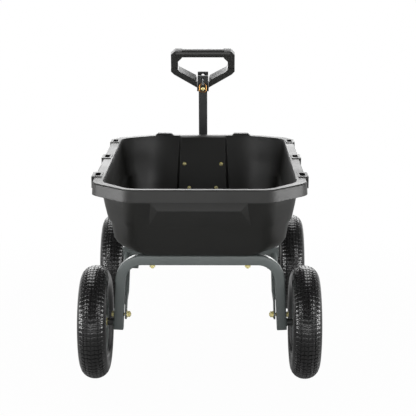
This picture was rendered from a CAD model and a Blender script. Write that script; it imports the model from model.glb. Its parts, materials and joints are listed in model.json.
# %% [markdown]
# # A tipping dump cart
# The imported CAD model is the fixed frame: it holds every size and every joint. This lesson dresses it.
# Each step says what a piece or a finish is on the real cart, how it could be made, and why it is made this way.
# All lengths are in metres, X runs across the cart, Y runs forward to the handle and Z runs up from the ground.

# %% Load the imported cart
import json
import math

import bpy
from mathutils import Matrix, Vector


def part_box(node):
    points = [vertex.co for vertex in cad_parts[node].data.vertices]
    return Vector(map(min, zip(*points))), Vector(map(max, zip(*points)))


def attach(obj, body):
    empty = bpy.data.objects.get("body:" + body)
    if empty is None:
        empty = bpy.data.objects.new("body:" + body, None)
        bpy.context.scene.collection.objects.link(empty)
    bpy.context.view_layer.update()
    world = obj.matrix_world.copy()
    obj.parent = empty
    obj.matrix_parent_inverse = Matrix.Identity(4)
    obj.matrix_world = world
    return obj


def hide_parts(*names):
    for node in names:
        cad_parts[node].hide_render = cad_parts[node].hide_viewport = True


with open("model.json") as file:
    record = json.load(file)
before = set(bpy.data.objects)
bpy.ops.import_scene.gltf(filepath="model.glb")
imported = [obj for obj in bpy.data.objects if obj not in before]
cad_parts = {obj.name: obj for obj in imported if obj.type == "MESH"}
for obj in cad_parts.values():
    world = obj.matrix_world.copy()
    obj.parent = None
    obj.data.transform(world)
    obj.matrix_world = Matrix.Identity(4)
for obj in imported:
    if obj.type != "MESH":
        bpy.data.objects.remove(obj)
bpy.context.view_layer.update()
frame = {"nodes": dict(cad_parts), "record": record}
nodes = frame["nodes"]
MM = 0.001

# %% [markdown]
# ## The camera
# The photograph looks along the cart from behind its rear wheels, from a little above the rim of the tub.
# The place and the lens were found from the measured wheels, rim and handle, so the camera needs no shift.

# %% Set the camera
CAMERA_PLACE = (0.054, -4.548, 1.481)
CAMERA_TILT = math.radians(77.90)
CAMERA_TURN = math.radians(0.37)
LENS_MM = 103.5
SENSOR_MM = 36

bpy.ops.object.select_all(action="DESELECT")
bpy.ops.object.camera_add(location=CAMERA_PLACE, rotation=(CAMERA_TILT, 0, CAMERA_TURN))
camera = bpy.context.object
camera.name = "photo_camera"
camera.data.sensor_width = SENSOR_MM
camera.data.lens = LENS_MM
camera.data.clip_end = 200
bpy.context.scene.camera = camera
print("camera at", tuple(round(v, 3) for v in camera.location), "lens", camera.data.lens)

# %% [markdown]
# ## Colours and nodes
# Colours are written as sRGB hex values, as a paint card gives them, and the shader wants linear light.
# One function turns the one into the other. A second one adds a node with its settings and its links,
# so a material reads as a short list of what it is made of. An input is named, or counted from 0 where names repeat:
# in a Map Range node, 1 and 2 are the range that is read and 3 and 4 the range that is given.

# %% Two helpers for every material
def linear(hex_colour):
    channels = [int(hex_colour[i:i + 2], 16) / 255 for i in (1, 3, 5)]
    return [c / 12.92 if c <= 0.04045 else ((c + 0.055) / 1.055) ** 2.4 for c in channels] + [1.0]


def add(tree, kind, inputs=None, **settings):
    node = tree.nodes.new(kind)
    for name, value in settings.items():
        setattr(node, name, value)
    for name, value in (inputs or {}).items():
        if isinstance(value, bpy.types.NodeSocket):
            tree.links.new(value, node.inputs[name])
        else:
            node.inputs[name].default_value = value
    return node


print("mid grey in linear light:", [round(c, 4) for c in linear("#808080")])

# %% [markdown]
# ## The studio
# The cart stands on a plain white floor that runs far past the view, so the background is white without more light.
# To the eye the paper glows by itself, which leaves only a trace of a shadow under the cart. The light it throws back
# is weaker near the cart, as on a shaded floor, so the sloping back wall, which mirrors it, stays nearly black.
# Around it is a white horizon under a dark ceiling, so black plastic keeps its depth inside the tub and still shines
# where a face looks at the horizon. A wide soft sun stands behind the cart, and a tall soft panel far behind it is
# what shines on the rim: a flat black rim seen at a low angle mirrors whatever stands behind it. Low lights on the
# near side reach the skirt, the tubes and the tyres, and pass under the rim, so the inside of the tub stays dark.
# They stand as a pair, left and right, so each round tyre shows two columns of highlights. A pair low beside the cart
# lights the corner faces of the tub, and a pair high beside it reaches the nuts in the front wall: the flat walls
# mirror that pair away from the camera, and the round nuts don't.

# %% Floor, world and lamps
scene = bpy.context.scene
scene.view_settings.view_transform = "Standard"


FLOOR_SIZE = 240
FLOOR_Z = -0.0005
SHADOW_ENDS = (0.9, 1.9)  # distance from the middle of the cart, over which the glow that the eye sees grows
GLOW = (0.98, 1.0)
SHADE_ENDS = (1.5, 3.2)  # distance over which the paper throws back more light
PAPER = (0.35, 0.88)
MIRRORED_GLOW = 0.1
HORIZON_Z = 0.06
CEILING_Z = 0.45
CEILING = 0.08
SUN_TURN = (math.radians(-38), math.radians(-6), 0)


def seen_rays(tree, mirrored):
    rays = add(tree, "ShaderNodeLightPath")
    gloss = add(tree, "ShaderNodeMath", {0: rays.outputs["Is Glossy Ray"], 1: mirrored}, operation="MULTIPLY")
    seen = add(tree, "ShaderNodeMath", {0: rays.outputs["Is Camera Ray"], 1: gloss.outputs[0]}, operation="MAXIMUM")
    glass = rays.outputs["Is Transmission Ray"]
    seen = add(tree, "ShaderNodeMath", {0: seen.outputs[0], 1: glass}, operation="MAXIMUM")
    return seen.outputs[0]


bpy.ops.object.select_all(action="DESELECT")
bpy.ops.mesh.primitive_plane_add(size=FLOOR_SIZE, location=(0, FLOOR_SIZE / 4, FLOOR_Z))
floor = bpy.context.object
floor.name = "studio_floor"
paper = bpy.data.materials.new("white studio paper")
paper.use_nodes = True
tree = paper.node_tree
tree.nodes.clear()
glow = add(tree, "ShaderNodeEmission", {"Color": linear("#ffffff"), "Strength": 1.0})
spot = add(tree, "ShaderNodeNewGeometry")
away = add(tree, "ShaderNodeVectorMath", {0: spot.outputs["Position"]}, operation="LENGTH")
grey = add(tree, "ShaderNodeMapRange", {"Value": away.outputs["Value"], 1: SHADE_ENDS[0], 2: SHADE_ENDS[1],
                                        3: PAPER[0], 4: PAPER[1]})
matt = add(tree, "ShaderNodeBsdfDiffuse", {"Color": grey.outputs[0]})
white = add(tree, "ShaderNodeMapRange", {"Value": away.outputs["Value"], 1: SHADOW_ENDS[0], 2: SHADOW_ENDS[1],
                                         3: GLOW[0], 4: GLOW[1]})
share = add(tree, "ShaderNodeMath", {0: seen_rays(tree, MIRRORED_GLOW), 1: white.outputs[0]}, operation="MULTIPLY")
shown = add(tree, "ShaderNodeMixShader", {0: share.outputs[0], 1: matt.outputs[0], 2: glow.outputs[0]})
add(tree, "ShaderNodeOutputMaterial", {"Surface": shown.outputs[0]})
floor.data.materials.append(paper)

world = bpy.data.worlds.new("white studio")
scene.world = world
world.use_nodes = True
tree = world.node_tree
tree.nodes.clear()
way = add(tree, "ShaderNodeTexCoord")
axes = add(tree, "ShaderNodeSeparateXYZ", {0: way.outputs["Generated"]})
ceiling = add(tree, "ShaderNodeValToRGB", {"Fac": axes.outputs["Z"]})
ceiling.color_ramp.elements[0].position = HORIZON_Z
ceiling.color_ramp.elements[0].color = (1, 1, 1, 1)
ceiling.color_ramp.elements[1].position = CEILING_Z
ceiling.color_ramp.elements[1].color = (CEILING, CEILING, CEILING, 1)
backdrop = add(tree, "ShaderNodeBackground", {"Color": ceiling.outputs[0], "Strength": 1.0})
add(tree, "ShaderNodeOutputWorld", {"Surface": backdrop.outputs[0]})

bpy.ops.object.light_add(type="SUN", rotation=SUN_TURN)
sun = bpy.context.object
sun.name = "soft_light_behind"
sun.data.energy = 2.0
sun.data.angle = math.radians(50)


def soft_panel(name, place, turn, wide, tall, power, down=0):
    bpy.ops.object.light_add(type="AREA", location=place, rotation=(math.radians(90 - down), 0, math.radians(turn)))
    lamp = bpy.context.object
    lamp.name = name
    lamp.data.shape = "RECTANGLE"
    lamp.data.size = wide
    lamp.data.size_y = tall
    lamp.data.energy = power
    lamp.visible_camera = False
    return name


SIDES = ((-1, "left"), (1, "right"))
lamps = [sun.name, soft_panel("panel_behind", (0, 7.0, 2.1), turn=180, wide=6.0, tall=2.6, power=190)]
for side, word in SIDES:
    lamps += [
        soft_panel("low_panel_in_front_" + word, (side * 1.45, -6.0, 0.55), turn=0,
                   wide=2.6, tall=0.8, power=22),
        soft_panel("high_panel_" + word, (side * 2.4, -2.2, 2.2), turn=side * 43,
                   wide=1.2, tall=0.9, power=24, down=27),
        soft_panel("low_panel_beside_" + word, (side * 3.0, -0.9, 0.42), turn=side * 66,
                   wide=1.8, tall=0.64, power=42),
    ]
print("floor", floor.name, "and lamps", lamps)

# %% [markdown]
# ## Finishes
# The cart has few materials. The tub and the grip are moulded black polyethylene and polypropylene.
# The chassis is square tube with a slate powder coat, the handle tube has a black one.
# Screws are zinc plated with a yellow pass, pins and bearings are bright steel, the ring is brass coloured wire,
# and the tyres are glossy black rubber. Each one reads Object coordinates, so a pattern has its size in millimetres.

# %% A start for every finish
def start_finish(name):
    material = bpy.data.materials.new(name)
    material.use_nodes = True
    tree = material.node_tree
    shader = tree.nodes["Principled BSDF"]
    place = add(tree, "ShaderNodeTexCoord")
    return material, tree, shader, place.outputs["Object"]


def per_metre(size_mm):
    return 1000.0 / size_mm


def worn_edges(tree, tint, radius_mm, rubbed_hex, most):
    """The tint, paler where an edge is rubbed, and a normal that rounds the edge."""
    rounded = add(tree, "ShaderNodeBevel", {"Radius": radius_mm * MM}, samples=4)
    face = add(tree, "ShaderNodeNewGeometry")
    turn = add(tree, "ShaderNodeVectorMath", {0: rounded.outputs[0], 1: face.outputs["Normal"]},
               operation="DOT_PRODUCT")
    edge = add(tree, "ShaderNodeMapRange", {"Value": turn.outputs["Value"], 1: 0.98, 2: 0.86, 3: 0.0, 4: most})
    rubbed = add(tree, "ShaderNodeMix", {"Factor": edge.outputs[0], 6: tint, 7: linear(rubbed_hex)},
                 data_type="RGBA")
    return rubbed.outputs[2], rounded.outputs[0]


finishes = {}

# %% [markdown]
# ### Moulded black polyethylene
# Rotational or injection moulding leaves a fine grain of 2 to 3 mm on the tub, taken from the mould.
# The eye sees a soft black with a broad sheen, a little cloudy over a hand's width, and paler rubbed edges.

# %% Tub polyethylene
material, tree, shader, where = start_finish("moulded black polyethylene")
grain = add(tree, "ShaderNodeTexNoise", {"Vector": where, "Scale": per_metre(2.4), "Detail": 3.0, "Roughness": 0.6})
cloud = add(tree, "ShaderNodeTexNoise", {"Vector": where, "Scale": per_metre(160), "Detail": 4.0})
tint = add(tree, "ShaderNodeValToRGB", {"Fac": cloud.outputs["Fac"]})
tint.color_ramp.elements[0].color = linear("#141412")
tint.color_ramp.elements[1].color = linear("#1b1b19")
colour, soft_normal = worn_edges(tree, tint.outputs[0], radius_mm=2.5, rubbed_hex="#484847", most=0.55)
sheen = add(tree, "ShaderNodeMapRange", {"Value": cloud.outputs["Fac"], 1: 0.3, 2: 0.7, 3: 0.40, 4: 0.50})
bump = add(tree, "ShaderNodeBump", {"Height": grain.outputs["Fac"], "Strength": 0.18, "Distance": 0.3 * MM,
                                    "Normal": soft_normal})
tree.links.new(colour, shader.inputs["Base Color"])
tree.links.new(sheen.outputs[0], shader.inputs["Roughness"])
tree.links.new(bump.outputs[0], shader.inputs["Normal"])
shader.inputs["IOR"].default_value = 1.51
finishes["tub_poly"] = material
print("made", material.name)

# %% [markdown]
# ### Moulded grip
# The grip is a harder black plastic with a finer stipple where the hand holds it. It is a shade paler and shinier
# than the tub: seen at a low angle, the tops of its arms are nearly white.

# %% Grip polypropylene
material, tree, shader, where = start_finish("stippled black polypropylene")
stipple = add(tree, "ShaderNodeTexVoronoi", {"Vector": where, "Scale": per_metre(1.6)})
cloud = add(tree, "ShaderNodeTexNoise", {"Vector": where, "Scale": per_metre(60), "Detail": 3.0})
tint = add(tree, "ShaderNodeValToRGB", {"Fac": cloud.outputs["Fac"]})
tint.color_ramp.elements[0].color = linear("#282827")
tint.color_ramp.elements[1].color = linear("#323231")
bump = add(tree, "ShaderNodeBump", {"Height": stipple.outputs["Distance"], "Strength": 0.2, "Distance": 0.25 * MM})
tree.links.new(tint.outputs[0], shader.inputs["Base Color"])
tree.links.new(bump.outputs[0], shader.inputs["Normal"])
shader.inputs["Roughness"].default_value = 0.32
shader.inputs["IOR"].default_value = 1.49
finishes["grip_poly"] = material
print("made", material.name)

# %% [markdown]
# ### Powder coat
# Powder is sprayed dry and baked, so it flows into a skin with a faint orange peel of 3 to 4 mm.
# The chassis is slate grey with a hint of green and a satin gloss. The handle tube has the same skin in black.

# %% Slate and black powder coat
def powder_coat(name, dark, pale, rubbed_colour, roughness):
    material, tree, shader, where = start_finish(name)
    peel = add(tree, "ShaderNodeTexNoise", {"Vector": where, "Scale": per_metre(3.5), "Detail": 1.5})
    cloud = add(tree, "ShaderNodeTexNoise", {"Vector": where, "Scale": per_metre(90), "Detail": 3.0})
    tint = add(tree, "ShaderNodeValToRGB", {"Fac": cloud.outputs["Fac"]})
    tint.color_ramp.elements[0].color = linear(dark)
    tint.color_ramp.elements[1].color = linear(pale)
    colour, soft_normal = worn_edges(tree, tint.outputs[0], radius_mm=1.2, rubbed_hex=rubbed_colour, most=0.5)
    bump = add(tree, "ShaderNodeBump", {"Height": peel.outputs["Fac"], "Strength": 0.12, "Distance": 0.25 * MM,
                                        "Normal": soft_normal})
    tree.links.new(colour, shader.inputs["Base Color"])
    tree.links.new(bump.outputs[0], shader.inputs["Normal"])
    shader.inputs["Roughness"].default_value = roughness
    shader.inputs["IOR"].default_value = 1.5
    print("made", name)
    return material


finishes["frame_paint"] = powder_coat("slate powder coat", "#5e6463", "#686e6d", "#8e9694", roughness=0.25)
finishes["dark_paint"] = powder_coat("black powder coat", "#323333", "#3b3c3c", "#525454", roughness=0.42)

# %% [markdown]
# ### Metals
# Yellow passivated zinc is pale gold with faint clouds a few millimetres wide, and its skin hides most of the metal.
# Bright steel has fine turning marks. The ring is lacquered brass wire, warm and quite smooth.

# %% Zinc, steel and brass
def metal(name, dark, pale, cloud_mm, low, high, mark_mm, bare):
    material, tree, shader, where = start_finish(name)
    cloud = add(tree, "ShaderNodeTexNoise", {"Vector": where, "Scale": per_metre(cloud_mm), "Detail": 2.0})
    tint = add(tree, "ShaderNodeValToRGB", {"Fac": cloud.outputs["Fac"]})
    tint.color_ramp.elements[0].position = 0.35
    tint.color_ramp.elements[1].position = 0.65
    tint.color_ramp.elements[0].color = linear(dark)
    tint.color_ramp.elements[1].color = linear(pale)
    gloss = add(tree, "ShaderNodeMapRange", {"Value": cloud.outputs["Fac"], 1: 0.3, 2: 0.7, 3: low, 4: high})
    marks = add(tree, "ShaderNodeTexNoise", {"Vector": where, "Scale": per_metre(mark_mm), "Detail": 1.0})
    rounded = add(tree, "ShaderNodeBevel", {"Radius": 0.6 * MM}, samples=4)
    bump = add(tree, "ShaderNodeBump", {"Height": marks.outputs["Fac"], "Strength": 0.1, "Distance": 0.1 * MM,
                                        "Normal": rounded.outputs[0]})
    tree.links.new(tint.outputs[0], shader.inputs["Base Color"])
    tree.links.new(gloss.outputs[0], shader.inputs["Roughness"])
    tree.links.new(bump.outputs[0], shader.inputs["Normal"])
    shader.inputs["Metallic"].default_value = bare
    print("made", name)
    return material


finishes["zinc"] = metal("yellow passivated zinc", "#e8d880", "#fbf3bc",
                         cloud_mm=7, low=0.22, high=0.32, mark_mm=0.8, bare=0.25)
finishes["steel"] = metal("bright turned steel", "#9fa2a3", "#c4c6c6",
                          cloud_mm=25, low=0.24, high=0.34, mark_mm=0.6, bare=1.0)
finishes["ring_wire"] = metal("lacquered brass wire", "#a8743a", "#cf9a55",
                              cloud_mm=12, low=0.20, high=0.30, mark_mm=0.6, bare=1.0)

# %% [markdown]
# ### Rubber and nylon
# Tyre rubber comes from a polished mould: black, with a soft gloss that catches the lamps along each lug.
# The rest pads and valves are the same family, duller. The wear washer under the turntable is natural nylon.

# %% Tyre rubber, pad rubber and nylon
def polymer(name, dark, pale, cloud_mm, low, high, grain_mm, depth, ior):
    material, tree, shader, where = start_finish(name)
    cloud = add(tree, "ShaderNodeTexNoise", {"Vector": where, "Scale": per_metre(cloud_mm), "Detail": 3.0})
    tint = add(tree, "ShaderNodeValToRGB", {"Fac": cloud.outputs["Fac"]})
    tint.color_ramp.elements[0].color = linear(dark)
    tint.color_ramp.elements[1].color = linear(pale)
    gloss = add(tree, "ShaderNodeMapRange", {"Value": cloud.outputs["Fac"], 1: 0.3, 2: 0.7, 3: low, 4: high})
    grain = add(tree, "ShaderNodeTexNoise", {"Vector": where, "Scale": per_metre(grain_mm), "Detail": 2.0})
    bump = add(tree, "ShaderNodeBump", {"Height": grain.outputs["Fac"], "Strength": depth, "Distance": 0.2 * MM})
    tree.links.new(tint.outputs[0], shader.inputs["Base Color"])
    tree.links.new(gloss.outputs[0], shader.inputs["Roughness"])
    tree.links.new(bump.outputs[0], shader.inputs["Normal"])
    shader.inputs["IOR"].default_value = ior
    print("made", name)
    return material


finishes["tyre"] = polymer("moulded tyre rubber", "#1a1a1a", "#242424",
                           cloud_mm=30, low=0.16, high=0.25, grain_mm=2.0, depth=0.10, ior=1.52)
finishes["rubber"] = polymer("matt black rubber", "#151515", "#1f1f1f",
                             cloud_mm=20, low=0.55, high=0.65, grain_mm=1.5, depth=0.15, ior=1.52)
finishes["nylon"] = polymer("natural nylon", "#cdc8ba", "#dbd7ca",
                            cloud_mm=25, low=0.40, high=0.50, grain_mm=1.5, depth=0.06, ior=1.53)

# %% [markdown]
# ## Dressing the CAD nodes
# The record names a material slot for every node. Each node takes the finish of its slot.

# %% Give every node its finish
node_slot = {part["node"]: part["material_slot"] for part in frame["record"]["subparts"]}
for name, obj in nodes.items():
    obj.data.materials.clear()
    obj.data.materials.append(finishes[node_slot[name]])
print(len(nodes), "nodes dressed in", len(finishes), "finishes")

# %% [markdown]
# ## Smooth skins over the solids
# A CAD mesh keeps each face apart, so its moulded curves show their flats. A copy with its points merged can be
# shaded smooth and given rounded edges, as a mould or a press leaves them, while every size stays the CAD's own.

# %% A merged copy with soft edges
def body_of(node):
    return next(b for b, members in frame["record"]["behaviour"]["bodies"].items() if node in members)


def finish_piece(piece, node):
    piece.data.materials.clear()
    piece.data.materials.append(finishes[node_slot[node]])
    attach(piece, body_of(node))
    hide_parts(node)


def only(piece):
    bpy.ops.object.select_all(action="DESELECT")
    piece.select_set(True)
    bpy.context.view_layer.objects.active = piece


def soft_copy(node, edge_mm, smooth_deg=35):
    piece = bpy.data.objects.new(node + "_skin", nodes[node].data.copy())
    bpy.context.scene.collection.objects.link(piece)
    only(piece)
    bpy.ops.object.mode_set(mode="EDIT")
    bpy.ops.mesh.select_all(action="SELECT")
    bpy.ops.mesh.remove_doubles(threshold=0.002 * MM)
    bpy.ops.mesh.dissolve_limited(angle_limit=math.radians(0.4))
    bpy.ops.object.mode_set(mode="OBJECT")
    bpy.ops.mesh.customdata_custom_splitnormals_clear()
    bpy.ops.object.shade_smooth_by_angle(angle=math.radians(smooth_deg))
    if edge_mm:
        soft = piece.modifiers.new("soft edges", "BEVEL")
        soft.width = edge_mm * MM
        soft.segments = 3
        soft.limit_method = "ANGLE"
        soft.angle_limit = math.radians(smooth_deg)
        soft.harden_normals = True
        bpy.ops.object.modifier_apply(modifier=soft.name)
    finish_piece(piece, node)
    print(node, "skin has", len(piece.data.polygons), "faces")


soft_copy("tub", edge_mm=0, smooth_deg=22)
soft_copy("grip", edge_mm=3.0)
for node, edge in {"tow_clevis": 1.0, "handle_tube": 0, "tongue": 0.8, "latch_bracket": 0.6, "release_lever": 0.8,
                   "bolster_plate": 0.8, "turntable_plate": 0.8, "keeper": 0.6, "lever_grip": 1.0}.items():
    soft_copy(node, edge)

# %% [markdown]
# ## Axle tubes
# Each axle is one square tube bent to a wide U, with round edges from the tube mill.
# A square is drawn at the middle of the cart, its corners are bevelled, and it is then drawn out along the axle,
# spun through the bend and drawn down the leg. A mirror gives the other half, so both legs are alike.

# %% Draw the U of square tube
TUBE = 35 * MM
BEND = 78 * MM
CORNER = 4.5 * MM
SPLAY = math.radians(3)


def axle_tube(node):
    low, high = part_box(node)
    y, mid_z = (low.y + high.y) / 2, high.z - TUBE / 2
    leg_mid_x = high.x - TUBE / 2 / math.cos(SPLAY)
    drop = mid_z - low.z
    corner_x = leg_mid_x - drop * math.tan(SPLAY)
    half = corner_x - BEND * math.tan((math.pi / 2 - SPLAY) / 2)
    bpy.ops.object.select_all(action="DESELECT")
    bpy.ops.mesh.primitive_plane_add(size=TUBE, location=(0, y, mid_z), rotation=(0, math.pi / 2, 0))
    piece = bpy.context.object
    piece.name = node + "_skin"
    bpy.ops.object.transform_apply(location=True, rotation=True, scale=True)
    bpy.ops.object.mode_set(mode="EDIT")
    bpy.ops.mesh.select_all(action="SELECT")
    bpy.ops.mesh.bevel(offset=CORNER, segments=4, affect="VERTICES")
    bpy.ops.mesh.select_all(action="SELECT")
    bpy.ops.mesh.extrude_region_move(TRANSFORM_OT_translate={"value": (half, 0, 0)})
    bpy.ops.mesh.spin(steps=16, angle=SPLAY - math.pi / 2, center=(half, y, mid_z - BEND), axis=(0, 1, 0))
    length = (mid_z - BEND + BEND * math.sin(SPLAY) - low.z) / math.cos(SPLAY)
    down = Vector((math.sin(SPLAY), 0, -math.cos(SPLAY))) * length
    bpy.ops.mesh.extrude_region_move(TRANSFORM_OT_translate={"value": down})
    bpy.ops.object.mode_set(mode="OBJECT")
    mirror = piece.modifiers.new("other half", "MIRROR")
    mirror.use_bisect_axis[0] = True
    mirror.merge_threshold = 0.01 * MM
    bpy.ops.object.modifier_apply(modifier=mirror.name)
    bpy.ops.object.mode_set(mode="EDIT")
    bpy.ops.mesh.select_all(action="SELECT")
    bpy.ops.mesh.remove_doubles(threshold=0.01 * MM)
    bpy.ops.mesh.normals_make_consistent(inside=False)
    bpy.ops.object.mode_set(mode="OBJECT")
    bpy.ops.object.shade_smooth_by_angle(angle=math.radians(30))
    finish_piece(piece, node)
    box = [round(v, 4) for v in piece.bound_box[0]], [round(v, 4) for v in piece.bound_box[6]]
    print(piece.name, "box", box, "CAD", [round(v, 4) for v in low], [round(v, 4) for v in high])


for node in ("rear_axle_tube", "front_axle_tube"):
    axle_tube(node)

# %% [markdown]
# ## Weld beads
# The tubes are joined by hand with wire, which leaves a row of small overlapping puddles along each seam.
# One puddle is a ball flattened to a lens. It is copied along the seam, and the copies are joined to one piece.
# The seams are the foot of each spindle on its leg, the spine against the cross tube and the tongue against the axle.

# %% One puddle, and a row of them
def puddle(size):
    bpy.ops.object.select_all(action="DESELECT")
    bpy.ops.mesh.primitive_uv_sphere_add(segments=8, ring_count=5, radius=size)
    piece = bpy.context.object
    bpy.ops.object.mode_set(mode="EDIT")
    bpy.ops.mesh.select_all(action="SELECT")
    bpy.ops.transform.resize(value=(0.9, 1.0, 0.8))
    bpy.ops.object.mode_set(mode="OBJECT")
    bpy.ops.object.shade_smooth()
    return piece


def bead(name, node, points, size):
    first = puddle(size)
    bpy.ops.object.select_all(action="DESELECT")
    for point in points:
        piece = first.copy()
        piece.data = first.data.copy()
        piece.data.transform(Matrix.Translation(point))
        bpy.context.scene.collection.objects.link(piece)
        piece.select_set(True)
    bpy.context.view_layer.objects.active = piece
    bpy.ops.object.join()
    bpy.data.objects.remove(first)
    piece.name = name
    piece.data.materials.append(finishes[node_slot[node]])
    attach(piece, body_of(node))
    print(name, "has", len(points), "puddles")


# %% Lay the beads
STEP = 2.6 * MM
SPINDLE_BEAD = 2.6 * MM
SEAM_BEAD = 3 * MM
SPINE_ROW = 12
TONGUE_ROW = 11
for axle in ("rear", "front"):
    low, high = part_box(axle + "_spindles")
    tube_low, tube_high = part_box(axle + "_axle_tube")
    y, z = (low.y + high.y) / 2, (low.z + high.z) / 2
    radius = (high.z - low.z) / 2 + 0.8 * MM
    steps = round(2 * math.pi * radius / STEP)
    for side, word in SIDES:
        ring = []
        for i in range(steps):
            angle = 2 * math.pi * i / steps
            up = z + radius * math.sin(angle)
            face = tube_high.x - (up - tube_low.z) * math.tan(SPLAY)
            ring.append(Vector((side * face, y + radius * math.cos(angle), up)))
        bead(axle + "_" + word + "_spindle_weld", axle + "_axle_tube", ring, SPINDLE_BEAD)

spine_low, spine_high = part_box("spine_tube")
cross_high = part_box("cross_tube")[1]
axle_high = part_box("front_axle_tube")[1]
spine_rise = [spine_low.z + 3 * MM + STEP * i for i in range(SPINE_ROW)]
tongue_rise = [axle_high.z - 5 * MM - STEP * i for i in range(TONGUE_ROW)]
for side, word in SIDES:
    seam = [Vector((side * spine_high.x, cross_high.y, z)) for z in spine_rise]
    bead("spine_weld_" + word, "spine_tube", seam, SEAM_BEAD)
    seam = [Vector((side * TUBE / 2, axle_high.y, z)) for z in tongue_rise]
    bead("tongue_weld_" + word, "tongue", seam, SEAM_BEAD)

# %% [markdown]
# ## Tyres
# A pneumatic tyre whose section is nearly round, with a block tread: eight rows of small slanted lugs, four on
# each side of the crown. The carcass is a circle of points moved to the tyre's section and spun, with a moulded rib
# above the bead. One set of eight lugs is modelled and spun round with copies, because a tread repeats exactly.

# %% Section of the carcass
tyre_low, tyre_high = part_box("rear_right_tyre")
TYRE_R = (tyre_high.z - tyre_low.z) / 2
TYRE_HALF = (tyre_high.x - tyre_low.x) / 2
WIDE_R = 156 * MM
BEAD_R = 107 * MM
LUG_H = 4.2 * MM
LUGS = 72
SECTION_POINTS = 80
ROUND_STEPS = 112
BEAD_TAPER = 0.10
RIB = 0.16
RIB_FROM, RIB_TO = -0.80, -0.70  # 0 is the widest place of the section and -1 is the bead


def carcass():
    bpy.ops.object.select_all(action="DESELECT")
    bpy.ops.mesh.primitive_circle_add(vertices=SECTION_POINTS, radius=1, rotation=(math.pi / 2, 0, 0))
    piece = bpy.context.object
    bpy.ops.object.transform_apply(location=True, rotation=True, scale=True)
    for vertex in piece.data.vertices:
        across, up = vertex.co.x, vertex.co.z
        x = across * TYRE_HALF
        if up > 0:
            z = WIDE_R + up * (TYRE_R - LUG_H - WIDE_R)
        else:
            z = WIDE_R + up * (WIDE_R - BEAD_R)
            x *= 1 - BEAD_TAPER * up * up + (RIB * abs(across) if RIB_FROM < up < RIB_TO else 0)
        vertex.co = (x, 0, z)
    bpy.ops.object.mode_set(mode="EDIT")
    bpy.ops.mesh.select_all(action="SELECT")
    bpy.ops.mesh.spin(steps=ROUND_STEPS, angle=2 * math.pi, center=(0, 0, 0), axis=(1, 0, 0))
    bpy.ops.mesh.select_all(action="SELECT")
    bpy.ops.mesh.remove_doubles(threshold=0.01 * MM)
    bpy.ops.mesh.normals_make_consistent(inside=False)
    bpy.ops.object.mode_set(mode="OBJECT")
    bpy.ops.object.shade_smooth()
    return piece


# %% One set of lugs
# Each row has its inner edge, its outer edge and its slant, counted from the middle of the crown.
LUG_ROWS_MM = ((1.0, 12, 1.7), (13, 23.2, -1.7), (25.4, 33.8, 1.2), (34.8, 44.2, -0.8))
LUG_TOP_GAP = 0.2 * MM
LUG_TOP = 0.37
LUG_FOOT = 0.42
LUG_EDGE = 1.0 * MM


def crown(x):
    return WIDE_R + (TYRE_R - WIDE_R) * math.sqrt(1 - (x / TYRE_HALF) ** 2)


def lug(x0, x1, lean):
    """A block from x0 to x1 across the tread, slanted by lean, its top on the round of the crown."""
    pitch = 2 * math.pi * TYRE_R / LUGS
    bpy.ops.object.select_all(action="DESELECT")
    bpy.ops.mesh.primitive_cube_add(size=1)
    piece = bpy.context.object
    for vertex in piece.data.vertices:
        outer, top = vertex.co.x > 0, vertex.co.z > 0
        x = x1 if outer else x0
        radius = crown(x) - (LUG_TOP_GAP if top else 2 * LUG_H)
        width = pitch * (LUG_TOP if top else LUG_FOOT)
        y = math.copysign(width, vertex.co.y) + (lean if outer else -lean)
        vertex.co = (x, y, radius)
    return piece


def tread():
    rows = []
    for side in (-1, 1):
        for x0, x1, lean in LUG_ROWS_MM:
            rows.append(lug(side * x0 * MM, side * x1 * MM, lean * MM))
    bpy.ops.object.select_all(action="DESELECT")
    for piece in rows:
        piece.select_set(True)
    bpy.context.view_layer.objects.active = rows[0]
    bpy.ops.object.join()
    piece = bpy.context.object
    bpy.ops.object.mode_set(mode="EDIT")
    bpy.ops.mesh.select_all(action="SELECT")
    bpy.ops.mesh.normals_make_consistent(inside=False)
    bpy.ops.mesh.bevel(offset=LUG_EDGE, segments=2, affect="EDGES")
    bpy.ops.mesh.select_all(action="SELECT")
    turn = 2 * math.pi * (LUGS - 1) / LUGS
    bpy.ops.mesh.spin(steps=LUGS - 1, dupli=True, angle=turn, center=(0, 0, 0), axis=(1, 0, 0))
    bpy.ops.mesh.select_all(action="SELECT")
    bpy.ops.mesh.normals_make_consistent(inside=False)
    bpy.ops.object.mode_set(mode="OBJECT")
    bpy.ops.object.shade_smooth_by_angle(angle=math.radians(35))
    return piece


# %% Put a tyre on each wheel
model_tyre = carcass()
lugs = tread()
only(model_tyre)
lugs.select_set(True)
bpy.ops.object.join()
for wheel in ("rear_left", "rear_right", "front_left", "front_right"):
    node = wheel + "_tyre"
    low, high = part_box(node)
    piece = model_tyre.copy()
    piece.data = model_tyre.data.copy()
    piece.name = node + "_skin"
    bpy.context.scene.collection.objects.link(piece)
    piece.data.transform(Matrix.Translation((low + high) / 2))
    finish_piece(piece, node)
    soft_copy(wheel + "_rim", edge_mm=0)
bpy.data.objects.remove(model_tyre)
print("four tyres of", len(piece.data.polygons), "faces each")
